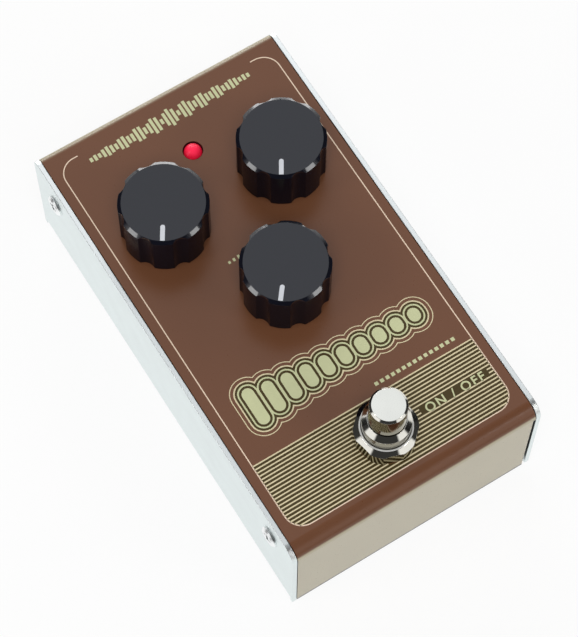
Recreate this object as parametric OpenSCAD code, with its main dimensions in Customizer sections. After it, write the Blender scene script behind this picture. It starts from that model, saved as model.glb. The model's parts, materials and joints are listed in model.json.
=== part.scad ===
// Compact delay pedal: a folded sheet-metal case with three rotary controls,
// a foot switch, a status lamp, two quarter-inch sockets and a power inlet.
// X runs across the case, Y from front to back and Z up from the floor.

/* [Case] */
// Width over the side plates
case_w = 70; // [66:0.5:90]
// Length from the front face to the back face
case_l = 122; // [116:0.5:150]
// Height without the feet
case_h = 35.2; // [33:0.2:50]
// Thickness of the sheet metal
sheet_t = 1.2; // [0.8:0.1:1.6]
// Inner radius of the cover's front bend
front_bend = 2.8; // [1:0.2:6]
// Inner radius of the cover's back bend
back_bend = 0.8; // [0.4:0.2:3]
// Inner radius along the lower edges of the tray
tray_bend = 0.8; // [0.4:0.2:2]
// Gap between the cover and the tray
panel_gap = 0.2; // [0.05:0.05:0.3]
// Width of the relief cut at each end of the tray's bends
bend_relief = 0.5; // [0.3:0.1:1]
// Width of the relief along the right edge of the front and back walls, under the bends
wall_relief = 0.65; // [0.1:0.05:0.8]
// Depth of that relief
relief_depth = 3; // [1.6:0.1:4]

/* [Feet] */
// Diameter of a rubber foot
foot_d = 12; // [8:0.5:16]
// Height of a rubber foot
foot_h = 2; // [1:0.1:4]
// Bevel round the bottom of a foot
foot_bevel = 0.5; // [0.2:0.1:0.9]
// From the case's sides and ends to the middle of a foot
foot_inset = 11; // [9:0.5:16]

/* [Case screws] */
// Thread diameter of the side screws
screw_d = 3; // [2:0.1:4]
// Head diameter
screw_head_d = 5.6; // [4.5:0.1:7]
// Head height
screw_head_h = 1; // [0.6:0.1:2]
// Depth of the cross recess
recess_depth = 0.6; // [0.3:0.1:0.9]
// Width of each arm of the cross recess
recess_w = 0.8; // [0.5:0.1:1.2]
// Length of each arm of the cross recess
recess_l = 3; // [2:0.1:4]
// From the ends of the case to the screws
screw_inset = 10; // [8:0.5:16]
// From the top of the case down to the screws
screw_drop = 8.4; // [7.5:0.1:12]
// Thread that reaches past the ear
screw_past = 0.9; // [0.3:0.1:1.2]
// Side of the square ear that a screw holds
ear_size = 9; // [7:0.5:12]

/* [Controls] */
// From the case's sides to the two upper controls
upper_side = 18.3; // [16:0.1:19.5]
// From the back face to the two upper controls
upper_in = 33.6; // [30:0.2:38]
// From the back face to the lower control
lower_in = 62.4; // [58:0.2:68]
// From the back face to the status lamp
lamp_in = 18.7; // [16:0.1:22]
// From the front face to the foot switch
switch_in = 14.8; // [13:0.2:20]

/* [Knobs] */
// Diameter across the lobes
knob_d = 22.3; // [18:0.1:26]
// Diameter of the flat top
knob_top_d = 20.5; // [15:0.1:24]
// Height of the knob
knob_h = 14.4; // [12:0.1:20]
// Height of the bevel round the top
knob_bevel = 0.6; // [0.3:0.1:3]
// Gap between the knob and the cover
knob_lift = 0.6; // [0.4:0.1:1.5]
// Number of flutes
flute_count = 8; // [5:1:12]
// Radius of a flute
flute_r = 2.8; // [1.5:0.1:4]
// Depth of a flute
flute_depth = 0.85; // [0.3:0.05:1.5]
// Radius of the hollow under the knob
hollow_r = 8; // [7:0.1:8.8]
// Depth of the hollow under the knob
hollow_h = 4.5; // [4:0.1:6]
// Depth of the shaft's hole above the hollow
socket_h = 8; // [6:0.1:8.5]
// Width of the pointer line
pointer_w = 1.15; // [0.8:0.05:2]
// Length of the pointer line
pointer_l = 4.2; // [3:0.1:7]
// Land between the pointer and the rim of the flat top
pointer_land = 0.1; // [0.05:0.05:1]
// Depth of the pointer's inlay
pointer_depth = 0.4; // [0.2:0.05:0.6]
// Pointer's angle from the front at rest, upper controls
upper_rest = 32; // [30:1:330]
// Pointer's angle from the front at rest, lower control
lower_rest = 39; // [30:1:330]

/* [Rotary controls] */
// Width of a control's body
pot_w = 9.8; // [9.4:0.1:12]
// Length of a control's body
pot_l = 11.4; // [10:0.1:14]
// Height of a control's body
pot_h = 6.8; // [6:0.1:9]
// Wall of a control's body above and below its rotor
pot_wall = 1.2; // [0.8:0.1:1.4]
// Diameter of the threaded neck
neck_d = 7; // [6.8:0.1:8]
// Diameter of the shaft
shaft_d = 6; // [5:0.1:6.2]
// Depth of the flat on the shaft
shaft_flat = 1.4; // [0.5:0.1:2]
// Diameter of the rotor at the foot of the shaft
rotor_d = 8; // [7:0.1:8.4]
// Thickness of the rotor
rotor_t = 1.6; // [1:0.1:2]
// Neck nut across its flats
neck_nut_af = 10; // [9:0.1:11]
// Thickness of the neck nut
neck_nut_h = 2; // [1.5:0.1:2.4]
// Diameter of the neck washer
neck_washer_d = 12; // [10:0.1:13]
// Thickness of the neck washer
neck_washer_t = 0.5; // [0.3:0.1:0.8]
// Neck that shows past its nut
neck_past = 0.5; // [0.2:0.1:0.9]
// Distance between a control's pins
pot_pitch = 2.5; // [2:0.1:3.5]
// From the shaft's axis forward to the pins
pot_pin_in = 3.5; // [2:0.1:4.5]

/* [Status lamp] */
// Diameter of the lens
lamp_d = 4.7; // [3:0.1:5.2]
// Height of the lens above the cover
lamp_proud = 1.2; // [0:0.1:2]
// Diameter of the rim at the foot of the lens
lamp_rim_d = 5.8; // [5.4:0.1:6.2]
// Height of that rim
lamp_rim_h = 1; // [0.6:0.1:1.5]
// Gap between the lens and its hole
lamp_gap = 0.2; // [0.1:0.05:0.4]
// Distance between the two leads
lead_pitch = 2.54; // [2:0.02:3]
// Diameter of a lead
lead_d = 0.5; // [0.4:0.05:0.7]

/* [Foot switch] */
// Diameter of the button
button_d = 9.2; // [8:0.1:9.6]
// Height of the button above the cover
button_h = 19.5; // [17:0.1:23]
// Width of the bevel round the button's top
button_bevel = 0.55; // [0.2:0.05:1]
// Height of that bevel
button_bevel_h = 0.55; // [0.3:0.05:2]
// Travel of the button
button_travel = 3.5; // [2:0.1:4]
// Diameter of the threaded barrel
barrel_d = 12; // [11.6:0.1:14]
// Height of the barrel above the cover
barrel_h = 11; // [9:0.1:12.5]
// Width of the bevel round the barrel's top
barrel_bevel = 1.2; // [0.2:0.1:1.3]
// Height of that bevel
barrel_bevel_h = 1.4; // [0.4:0.1:3]
// Dress nut across its flats
switch_nut_af = 15; // [13.6:0.1:17]
// Diameter of the dress nut over its rounded corners
switch_nut_d = 15.8; // [14:0.1:17]
// Turn of the dress nut
switch_nut_turn = 42; // [0:1:59]
// Height of the dress nut
switch_nut_h = 5.2; // [2:0.1:6]
// Height of the bevel round the dress nut
switch_nut_bevel = 1.2; // [0.4:0.1:2]
// Diameter of the flat ring on the dress nut
switch_ring_d = 13.1; // [12.5:0.1:13.5]
// Diameter of the washer under the dress nut
switch_washer_d = 14.8; // [14:0.1:19]
// Thickness of that washer
switch_washer_t = 0.6; // [0.3:0.1:1]
// Thickness of the lock nut under the cover
lock_nut_h = 2; // [1.5:0.1:3]
// Barrel left between the lock nut and the switch's case
barrel_spare = 0.8; // [0.4:0.1:2]
// Side of the switch's square case
switch_case_w = 17; // [15:0.1:20]
// Room left in the switch's well under the pressed button
well_spare = 1.7; // [0.8:0.1:2.6]
// Floor of the switch's case
switch_floor = 2; // [1.2:0.1:3]
// Radius of the flange that keeps the button in
flange_r = 5.3; // [5.1:0.1:5.6]
// Thickness of that flange
flange_t = 1.5; // [1:0.1:2]
// Wire diameter of the return spring
spring_wire = 0.9; // [0.6:0.05:1]
// Turns of the return spring
spring_turns = 5; // [3:1:6]
// Spacing of the switch's pins
switch_pitch = 4.8; // [4:0.1:5.5]
// Diameter of the switch's pins
switch_pin_d = 1.2; // [0.8:0.1:1.6]

/* [Boards] */
// Thickness of the circuit boards
board_t = 1.6; // [1:0.1:2]
// Length of the main board
board_l = 72; // [68:0.5:76]
// From the side plates to the main board
board_side = 3.3; // [3:0.1:5]
// From the back wall to the main board
board_back_gap = 1.8; // [1:0.1:3]
// Width of the switch board
switch_board_w = 24; // [19:0.5:34]
// Length of the switch board in front of the switch's axis
switch_board_fore = 10; // [9:0.1:10.5]
// Length of the switch board behind the switch's axis
switch_board_aft = 17; // [16:0.1:20]
// Pin that shows past a board
pin_past = 1.2; // [0.6:0.1:2]
// Diameter of the small pins
pin_d = 0.8; // [0.6:0.05:1]
// Width of the ribbon cable
ribbon_w = 8; // [5:0.1:8.4]
// Thickness of the ribbon cable
ribbon_t = 0.6; // [0.4:0.05:1]
// Bend radius of the ribbon at its middle
ribbon_bend = 1.6; // [1:0.1:2]
// Height of the ribbon's header
header_h = 2; // [1.5:0.1:2.4]
// Depth of the ribbon's header
header_l = 4; // [3:0.1:5]

/* [Board parts] */
// Diameter of the large capacitors
can_d = 6.3; // [5:0.1:6.6]
// Height of the large capacitors
can_h = 11; // [8:0.1:13]
// Width, depth and height of the film capacitors
film_size = [7.2, 2.5, 6.5]; // [2:0.1:8]
// Width of a chip
chip_w = 6.4; // [6:0.1:7]
// Height of a chip
chip_h = 3.4; // [2.5:0.1:4]
// Pitch of a chip's legs
leg_pitch = 2.54; // [2:0.02:2.6]
// Width of a chip's legs
leg_w = 0.5; // [0.4:0.05:0.8]
// Thickness of a chip's legs
leg_t = 0.3; // [0.2:0.05:0.5]
// Diameter of a resistor
resistor_d = 2.2; // [1.6:0.1:2.4]
// Length of a resistor's body
resistor_l = 6.5; // [5:0.1:8]
// Lead that shows at each end of a resistor
resistor_lead = 1.2; // [0.8:0.1:1.6]
// From the main board's sides to the outer chips
chip_edge = 11.5; // [9:0.1:13]
// From the lower control back to the row of chips
chip_aft = 11.4; // [8:0.1:12]
// Legs along one side of the middle chip
middle_legs = 8; // [4:1:8]
// Legs along one side of an outer chip
outer_legs = 4; // [3:1:4]
// From the main board's sides to the outer capacitors
can_edge = 4.5; // [4:0.1:6]
// Spacing of the two front capacitors on each side
can_pitch = 9; // [7:0.1:10]
// From the lower control forward to the front capacitors
can_fore = 4.6; // [3:0.1:6]
// From the lower control back to the other capacitors
can_aft = 21.4; // [20:0.1:23]
// From the middle to the film capacitors
film_x = 8.7; // [8.2:0.1:9.4]
// From the lower control back to the rows of film capacitors
film_rows = [-8.6, 2.4]; // [-9:0.1:3]
// From the main board's sides to the middle of the resistors
resistor_edge = 9.5; // [7:0.1:12]
// From the lower control back to the rows of resistors
resistor_rows = [1.4, 4.4, 16.9, 28.4]; // [1:0.1:29]

/* [Sockets] */
// From the case's sides to the two sockets
jack_side = 15; // [11:0.5:17]
// Width of a socket's body
jack_body_w = 15; // [13:0.1:17]
// Height of a socket's body
jack_body_h = 14.4; // [13:0.1:16]
// Length of a socket's body
jack_body_l = 28; // [26:0.1:29]
// Diameter of the threaded nose
jack_nose_d = 9; // [8.4:0.1:9.6]
// Bore for the plug
jack_bore_d = 6.5; // [6.4:0.05:6.8]
// Length of that bore
jack_bore_l = 13; // [10:0.1:16]
// Width of the chamber behind the bore
jack_chamber_d = 8.6; // [8.2:0.1:9.5]
// Wall at the inner end of a socket's body
jack_end_wall = 2; // [1.2:0.1:3]
// Socket nut across its flats
jack_nut_af = 12; // [11:0.1:14]
// Thickness of the socket nut
jack_nut_h = 2; // [1.5:0.1:3]
// Diameter of the socket's washer
jack_washer_d = 13; // [11.5:0.1:15]
// Thickness of the socket's washer
jack_washer_t = 0.5; // [0.3:0.1:1]
// Thread that shows past the socket nut
jack_past = 0.3; // [0.1:0.1:1]
// Width of the tip spring
tip_w = 3; // [2:0.1:4]
// Thickness of the contact springs
contact_t = 0.4; // [0.3:0.05:0.6]
// Length of the tip spring
tip_l = 11; // [9:0.1:12]
// Radius of the tip spring's bump
tip_bump_r = 0.9; // [0.6:0.05:1]
// From the socket's axis up to the tip spring
tip_rise = 3.3; // [3.1:0.05:3.4]

/* [Power inlet] */
// Width of the inlet's body
inlet_w = 9; // [8.8:0.1:11]
// Length of the inlet's body
inlet_l = 14; // [12.5:0.1:16]
// From the inlet's axis down to the bottom of its body
inlet_low = 5.5; // [4.5:0.1:7]
// Diameter of the round nose in the back wall
inlet_nose_d = 8.6; // [7.6:0.1:9]
// Diameter of the opening for the plug
inlet_bore_d = 6.2; // [5.7:0.1:6.4]
// Depth of that opening
inlet_depth = 10; // [9:0.1:11]
// Diameter of the centre pin
inlet_pin_d = 2.1; // [1.9:0.1:2.5]
// From the mouth of the opening back to the pin's end
inlet_pin_in = 2; // [0.5:0.1:3]
// Width of the side spring
inlet_spring_w = 2.4; // [1.6:0.1:3]

/* [Fits] */
// Running gap round the shafts and the button
run_gap = 0.05; // [0.02:0.01:0.08]
// Gap round fixed pieces in their holes
fix_gap = 0.1; // [0.05:0.05:0.3]
// Gap round pieces that move inside a housing
move_gap = 0.3; // [0.2:0.05:0.4]

/* [Hidden] */
$fn = 64;

// Overrun of a cutting shape past the face that it opens
cut = 1;

// Heights, from the underside of the case
under = case_h - sheet_t;
board_top = under - pot_h;
board_bot = board_top - board_t;
jack_z = board_bot - jack_body_h / 2;
inlet_z = jack_z;
neck_top = case_h + neck_washer_t + neck_nut_h + neck_past;
knob_bot = case_h + knob_lift;
knob_top = knob_bot + knob_h;
shaft_top = knob_bot + hollow_h + socket_h - move_gap;
rotor_z = board_top + (pot_h - rotor_t) / 2;
barrel_bot = under - lock_nut_h - barrel_spare;
switch_case_h = switch_floor + spring_turns * spring_wire + button_travel + well_spare + flange_t;
switch_case_bot = barrel_bot - switch_case_h;
flange_top = barrel_bot - run_gap;
spring_floor = switch_case_bot + switch_floor;
header_top = switch_case_bot + header_h;
ribbon_run = board_bot - ribbon_bend;

// Places along and across the case
cover_w = case_w - 2 * (sheet_t + panel_gap);
tray_l = case_l - 2 * (sheet_t + panel_gap);
tray_bend_out = tray_bend + sheet_t;
relief_top = case_h - front_bend - sheet_t;
back_in = case_l / 2 - sheet_t;
upper_y = case_l / 2 - upper_in;
lower_y = case_l / 2 - lower_in;
lamp_y = case_l / 2 - lamp_in;
switch_y = switch_in - case_l / 2;
mix_at = [upper_side - case_w / 2, upper_y];
time_at = [case_w / 2 - upper_side, upper_y];
repeats_at = [0, lower_y];
controls = [mix_at, time_at, repeats_at];
screw_z = case_h - screw_drop;
ear_l = screw_inset + (ear_size - sheet_t) / 2;
ear_y = (case_l - sheet_t - ear_l) / 2;
board_w = case_w - 2 * (sheet_t + board_side);
board_back = back_in - board_back_gap;
board_front = board_back - board_l;
ribbon_from = switch_y + switch_board_aft - header_l;
ribbon_to = board_front + header_l;
jack_x = case_w / 2 - jack_side;
jack_out = jack_washer_t + jack_nut_h + jack_past;
jack_mouth = case_l / 2 + jack_out;
jack_inner = back_in - jack_body_l;
tip_tail_y = jack_inner + jack_end_wall + 2 * contact_t;
inlet_inner = back_in - inlet_l;
inlet_end = case_l / 2 - inlet_depth;

// The sockets stand out at the back, so the case moves forward to centre the whole
whole_shift = -jack_out / 2;

// Board parts: each chip by its place across and its legs a side, each capacitor by its place
chip_row = lower_y + chip_aft;
chip_x = board_w / 2 - chip_edge;
chips = [[-chip_x, outer_legs], [0, middle_legs], [chip_x, outer_legs]];
can_x = board_w / 2 - can_edge;
can_fronts = [for (side = [-1, 1], in = [0, can_pitch]) [side * (can_x - in), lower_y - can_fore]];
can_backs = [for (side = [-1 : 1]) [side * can_x, lower_y + can_aft]];
films = [for (side = [-1, 1], row = film_rows) [side * film_x, lower_y + row]];
resistor_x = board_w / 2 - resistor_edge;

// Return spring: a helix swept with a six-sided wire
spring_r = flange_r - spring_wire / 2 - move_gap;
spring_low = spring_floor + spring_wire / 2 + run_gap;
spring_high = flange_top - flange_t - spring_wire / 2 - run_gap;
spring_pitch = (spring_high - spring_low) / spring_turns;
turn_steps = 20;
wire_sides = 6;
spring_steps = spring_turns * turn_steps;
spring_line = [for (i = [0 : spring_steps]) let (a = 360 * i / turn_steps)
    [spring_r * cos(a), spring_r * sin(a), spring_low + spring_pitch * i / turn_steps]];
spring_gap = min([for (i = [0 : spring_steps - turn_steps])
    norm(spring_line[i + turn_steps] - spring_line[i])]) - spring_wire;
echo(least_gap_between_spring_turns = spring_gap);

// Everything inside or on the case stands on the feet
module in_case() {
    translate([0, whole_shift, foot_h]) children();
}

// Extrudes a side view across the case
module across(width) {
    translate([-width / 2, 0, 0]) rotate([90, 0, 90]) linear_extrude(width) children();
}

// Side view of the case, drawn in by inset and lengthened downward by drop
module side_view(inset = 0, drop = 0) {
    half = case_l / 2 - inset;
    top = case_h - inset;
    front_r = front_bend + sheet_t - inset;
    back_r = back_bend + sheet_t - inset;
    translate([-half, -drop]) square([front_r, top - front_r + drop]);
    translate([half - back_r, -drop]) square([back_r, top - back_r + drop]);
    translate([front_r - half, -drop]) square([2 * half - front_r - back_r, top + drop]);
    translate([front_r - half, top - front_r]) circle(front_r);
    translate([half - back_r, top - back_r]) circle(back_r);
}

// The four side screws' places; each child points out of its side plate
module at_screws() {
    for (side = [-1, 1], end = [-1, 1])
        translate([side * case_w / 2, end * (case_l / 2 - screw_inset), screw_z])
            rotate([0, side * 90, 0]) children();
}

// Hexagon prism by its width across flats
module hex(across_flats, height) {
    cylinder(d = across_flats / cos(30), h = height, $fn = 6);
}

// Ring with a round hole
module ring(outer_d, hole_d, height) {
    difference() {
        cylinder(d = outer_d, h = height);
        translate([0, 0, -cut]) cylinder(d = hole_d, h = height + 2 * cut);
    }
}

// Hexagon nut with a plain hole
module nut(across_flats, hole_d, height) {
    difference() {
        hex(across_flats, height);
        translate([0, 0, -cut]) cylinder(d = hole_d, h = height + 2 * cut);
    }
}

// A cylinder that runs toward the back, from a place on its axis
module rearward(place, diameter, length) {
    translate(place) rotate([-90, 0, 0]) cylinder(d = diameter, h = length);
}

// Painted cover: front, top and back in one bent sheet, with four ears inside
module top_cover() {
    color("sienna") in_case() difference() {
        union() {
            difference() {
                across(cover_w) side_view();
                across(cover_w + 2 * cut) side_view(sheet_t, cut);
            }
            intersection() {
                across(cover_w) side_view();
                for (side = [-1, 1], end = [-1, 1])
                    translate([side * (cover_w - sheet_t) / 2, end * ear_y, screw_z])
                        cube([sheet_t, ear_l, ear_size], center = true);
            }
        }
        for (end = [-1, 1])
            translate([(cover_w + cut - wall_relief) / 2, end * (case_l + cut - relief_depth) / 2,
                (relief_top - cut) / 2])
                cube([wall_relief + cut, relief_depth + cut, relief_top + cut], center = true);
        for (place = controls)
            translate([place[0], place[1], under - cut])
                cylinder(d = neck_d + 2 * fix_gap, h = sheet_t + 2 * cut);
        translate([0, lamp_y, under - cut])
            cylinder(d = lamp_d + 2 * lamp_gap, h = sheet_t + 2 * cut);
        translate([0, switch_y, under - cut])
            cylinder(d = barrel_d + 2 * fix_gap, h = sheet_t + 2 * cut);
        for (side = [-1, 1])
            rearward([side * jack_x, back_in - cut, jack_z],
                jack_nose_d + 2 * fix_gap, sheet_t + 2 * cut);
        rearward([0, back_in - cut, inlet_z], inlet_nose_d + 2 * fix_gap, sheet_t + 2 * cut);
        at_screws() translate([0, 0, -2 * sheet_t - panel_gap - cut])
            cylinder(d = screw_d + 2 * run_gap, h = 2 * sheet_t + cut);
    }
}

// Half section of the tray's floor and lower bends, mirrored about the middle
module tray_section() {
    half = case_w / 2;
    difference() {
        union() {
            translate([tray_bend_out - half, 0]) square([case_w - 2 * tray_bend_out, tray_bend_out]);
            for (side = [-1, 1]) {
                translate([side * (half - tray_bend_out), tray_bend_out]) circle(tray_bend_out);
                translate([side * (half - tray_bend_out / 2) - tray_bend_out / 2, tray_bend_out])
                    square([tray_bend_out, cut]);
            }
        }
        translate([tray_bend_out - half, sheet_t]) square([case_w - 2 * tray_bend_out, tray_bend_out]);
        for (side = [-1, 1]) {
            translate([side * (half - tray_bend_out), tray_bend_out]) circle(tray_bend);
            translate([side * (half - sheet_t - tray_bend / 2) - tray_bend / 2, tray_bend_out])
                square([tray_bend, 2 * tray_bend_out]);
        }
        translate([tray_bend_out - half, tray_bend_out])
            square([case_w - 2 * tray_bend_out, 2 * tray_bend_out]);
    }
}

// Bright tray: floor and both side plates in one bent sheet
module base_tray() {
    color("gainsboro") in_case() difference() {
        union() {
            translate([0, tray_l / 2, 0]) rotate([90, 0, 0]) linear_extrude(tray_l) tray_section();
            for (side = [-1, 1])
                translate([side * (case_w - sheet_t) / 2, 0, 0]) across(sheet_t) difference() {
                    side_view();
                    translate([-tray_l / 2 - bend_relief, -cut])
                        square([tray_l + 2 * bend_relief, tray_bend_out + cut]);
                }
        }
        at_screws() translate([0, 0, -sheet_t - cut])
            cylinder(d = screw_d + 2 * fix_gap, h = sheet_t + 2 * cut);
    }
}

// Four pan-head screws through the side plates into the cover's ears
module cover_screws() {
    length = 2 * sheet_t + panel_gap + screw_past;
    color("silver") in_case() at_screws() difference() {
        union() {
            rotate_extrude() polygon([[0, 0], [screw_head_d / 2, 0],
                [screw_head_d / 2, screw_head_h / 2], [screw_head_d / 2 - screw_head_h / 2, screw_head_h],
                [0, screw_head_h]]);
            translate([0, 0, -length]) cylinder(d = screw_d, h = length);
        }
        for (turn = [0, 90]) rotate(turn)
            translate([-recess_l / 2, -recess_w / 2, screw_head_h - recess_depth])
                cube([recess_l, recess_w, recess_depth + cut]);
    }
}

// Four rubber feet under the tray
module rubber_feet() {
    color("dimgray") in_case()
        for (side = [-1, 1], end = [-1, 1])
            translate([side * (case_w / 2 - foot_inset), end * (case_l / 2 - foot_inset), -foot_h])
                rotate_extrude() polygon([[0, 0], [foot_d / 2 - foot_bevel, 0], [foot_d / 2, foot_bevel],
                    [foot_d / 2, foot_h], [0, foot_h]]);
}

// Puts a turning piece on its control's axis, turned to its rest angle
module at_control(place, rest) {
    in_case() translate([place[0], place[1], 0]) rotate(-rest) children();
}

// Section of a shaft with its flat, grown by a gap
module shaft_section(gap = 0) {
    difference() {
        circle(d = shaft_d + 2 * gap);
        translate([-shaft_d, shaft_d / 2 - shaft_flat + gap]) square([2 * shaft_d, shaft_d]);
    }
}

// Pointer line on a knob, from its round inner end to the rim of the flat top
module pointer_bar(length, depth, height) {
    translate([0, length + pointer_land - knob_top_d / 2, knob_top - depth]) {
        cylinder(d = pointer_w, h = height);
        translate([-pointer_w / 2, -length, 0]) cube([pointer_w, length, height]);
    }
}

// Round blank of a knob with its bevelled rim
module knob_blank() {
    translate([0, 0, knob_bot]) rotate_extrude() polygon([[0, 0], [knob_d / 2, 0],
        [knob_d / 2, knob_h - knob_bevel], [knob_top_d / 2, knob_h], [0, knob_h]]);
}

// Fluted knob with a flat top
module knob(place, rest) {
    color("#202124") at_control(place, rest) difference() {
        knob_blank();
        for (i = [0 : flute_count - 1]) rotate((i + 0.5) * 360 / flute_count - 90)
            translate([knob_d / 2 + flute_r - flute_depth, 0, knob_bot - cut])
                cylinder(r = flute_r, h = knob_h + 2 * cut);
        translate([0, 0, knob_bot - cut]) cylinder(r = hollow_r, h = hollow_h + cut);
        translate([0, 0, knob_bot]) linear_extrude(hollow_h + socket_h) shaft_section(run_gap);
        pointer_bar(pointer_l - pointer_w / 2, pointer_depth, pointer_depth + cut);
    }
}

// White inlay in a knob's top
module pointer(place, rest) {
    color("white") at_control(place, rest)
        pointer_bar(pointer_l - pointer_w / 2, pointer_depth, pointer_depth);
}

// Control shaft with the rotor at its foot
module shaft(place, rest) {
    color("darkgray") at_control(place, rest) {
        translate([0, 0, rotor_z]) cylinder(d = rotor_d, h = rotor_t);
        translate([0, 0, rotor_z]) cylinder(d = shaft_d, h = neck_top - rotor_z);
        translate([0, 0, neck_top]) linear_extrude(shaft_top - neck_top) shaft_section();
    }
}

// Rotary control: a box with a threaded neck that the shaft turns in
module pot(place) {
    color("darkolivegreen") in_case() translate([place[0], place[1], 0]) difference() {
        union() {
            translate([-pot_w / 2, -pot_l / 2, board_top]) cube([pot_w, pot_l, pot_h]);
            translate([0, 0, board_top]) cylinder(d = neck_d, h = neck_top - board_top);
        }
        translate([0, 0, rotor_z]) cylinder(d = shaft_d + 2 * run_gap, h = neck_top - rotor_z + cut);
        translate([0, 0, board_top + pot_wall])
            cylinder(d = rotor_d + 2 * move_gap, h = pot_h - 2 * pot_wall);
    }
}

// Nuts that hold the three controls to the cover
module pot_nuts() {
    color("silver") in_case() for (place = controls)
        translate([place[0], place[1], case_h + neck_washer_t])
            nut(neck_nut_af, neck_d + 2 * run_gap, neck_nut_h);
}

// Washers under those nuts
module pot_washers() {
    color("lightgray") in_case() for (place = controls)
        translate([place[0], place[1], case_h]) ring(neck_washer_d, neck_d + 2 * fix_gap, neck_washer_t);
}

// Places of the pins under the controls
pot_pin_places = [for (place = controls, i = [-1 : 1])
    [place[0] + i * pot_pitch, place[1] - pot_pin_in, board_bot - pin_past]];

// Pins of the three controls, through the main board
module pot_pins() {
    color("lightgray") in_case() for (place = pot_pin_places)
        translate(place) cylinder(d = pin_d, h = board_t + pin_past);
}

// Push button of the foot switch with its keeper flange
module footswitch_button() {
    top = case_h + button_h;
    color("whitesmoke") in_case() translate([0, switch_y, 0]) rotate_extrude() polygon([
        [0, flange_top - flange_t], [flange_r, flange_top - flange_t], [flange_r, flange_top],
        [button_d / 2, flange_top], [button_d / 2, top - button_bevel_h],
        [button_d / 2 - button_bevel, top], [0, top]]);
}

// Threaded barrel that the button slides in
module footswitch_barrel() {
    top = case_h + barrel_h;
    color("silver") in_case() translate([0, switch_y, 0]) difference() {
        rotate_extrude() polygon([[0, barrel_bot], [barrel_d / 2, barrel_bot],
            [barrel_d / 2, top - barrel_bevel_h], [barrel_d / 2 - barrel_bevel, top], [0, top]]);
        translate([0, 0, barrel_bot - cut])
            cylinder(d = button_d + 2 * run_gap, h = top - barrel_bot + 2 * cut);
    }
}

// Dress nut of the foot switch, its rounded corners bevelled down from a flat ring
module footswitch_nut() {
    color("silver") in_case() translate([0, switch_y, case_h + switch_washer_t]) intersection() {
        rotate(switch_nut_turn) nut(switch_nut_af, barrel_d + 2 * run_gap, switch_nut_h);
        rotate_extrude() polygon([[0, 0], [switch_nut_d / 2, 0],
            [switch_nut_d / 2, switch_nut_h - switch_nut_bevel],
            [switch_ring_d / 2, switch_nut_h], [0, switch_nut_h]]);
    }
}

// Washer between the dress nut and the cover
module footswitch_washer() {
    color("lightgray") in_case() translate([0, switch_y, case_h])
        ring(switch_washer_d, barrel_d + 2 * fix_gap, switch_washer_t);
}

// Lock nut under the cover
module footswitch_lock_nut() {
    color("silver") in_case() translate([0, switch_y, under - lock_nut_h])
        nut(switch_nut_af, barrel_d + 2 * run_gap, lock_nut_h);
}

// Case of the foot switch, with the well that holds the spring
module footswitch_case() {
    color("royalblue") in_case() translate([0, switch_y, switch_case_bot]) difference() {
        translate([-switch_case_w / 2, -switch_case_w / 2, 0])
            cube([switch_case_w, switch_case_w, switch_case_h]);
        translate([0, 0, switch_floor])
            cylinder(r = flange_r + move_gap, h = switch_case_h - switch_floor + cut);
    }
}

// Return spring in the well, under the button's flange
module footswitch_spring() {
    wire = [for (i = [0 : spring_steps], k = [0 : wire_sides - 1])
        let (a = 360 * i / turn_steps, b = 360 * k / wire_sides,
            reach = spring_r + spring_wire / 2 * cos(b))
        [reach * cos(a), reach * sin(a), spring_line[i][2] + spring_wire / 2 * sin(b)]];
    skin = [for (i = [0 : spring_steps - 1], k = [0 : wire_sides - 1])
        let (here = i * wire_sides, next = (k + 1) % wire_sides)
        each [[here + k, here + next, here + wire_sides + next],
            [here + k, here + wire_sides + next, here + wire_sides + k]]];
    last = spring_steps * wire_sides;
    caps = [for (k = [1 : wire_sides - 2])
        each [[0, k + 1, k], [last, last + k, last + k + 1]]];
    color("slategray") in_case() translate([0, switch_y, 0])
        polyhedron(points = wire, faces = concat([for (f = skin) [f[0], f[2], f[1]]],
            [for (f = caps) [f[0], f[2], f[1]]]));
}

// Places of the switch's pins
switch_pin_places = [for (i = [-1 : 1], side = [-1, 1])
    [i * switch_pitch, switch_y + side * switch_pitch, switch_case_bot - board_t - pin_past]];

// Pins of the foot switch, through the switch board
module footswitch_pins() {
    color("lightgray") in_case() for (place = switch_pin_places)
        translate(place) cylinder(d = switch_pin_d, h = board_t + pin_past);
}

// Small board that carries the foot switch's pins and the ribbon's header
module switch_board() {
    color("seagreen") in_case() difference() {
        translate([-switch_board_w / 2, switch_y - switch_board_fore, switch_case_bot - board_t])
            cube([switch_board_w, switch_board_fore + switch_board_aft, board_t]);
        for (place = switch_pin_places)
            translate(place) cylinder(d = switch_pin_d + 2 * fix_gap, h = board_t + 2 * pin_past);
    }
}

// Header that the ribbon leaves on the switch board
module ribbon_header() {
    color("ivory") in_case() translate([-ribbon_w / 2 - cut, ribbon_from - header_l / 2, switch_case_bot])
        cube([ribbon_w + 2 * cut, header_l, header_h]);
}

// Quarter bend of the ribbon round a centre, in the half planes that the signs name
module ribbon_corner(centre, y_sign, z_sign) {
    size = ribbon_bend + ribbon_t;
    translate(centre) intersection() {
        difference() {
            circle(ribbon_bend + ribbon_t / 2);
            circle(ribbon_bend - ribbon_t / 2);
        }
        translate([y_sign * size / 2 - size / 2, z_sign * size / 2 - size / 2]) square(size);
    }
}

// Ribbon cable from the header, over the gap and up to the main board
module ribbon_cable() {
    color("lightslategray") in_case() across(ribbon_w) {
        translate([ribbon_from - ribbon_t / 2, header_top])
            square([ribbon_t, ribbon_run - ribbon_bend - header_top]);
        ribbon_corner([ribbon_from + ribbon_bend, ribbon_run - ribbon_bend], -1, 1);
        translate([ribbon_from + ribbon_bend, ribbon_run - ribbon_t / 2])
            square([ribbon_to - ribbon_from - 2 * ribbon_bend, ribbon_t]);
        ribbon_corner([ribbon_to - ribbon_bend, ribbon_run + ribbon_bend], 1, -1);
    }
}

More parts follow.
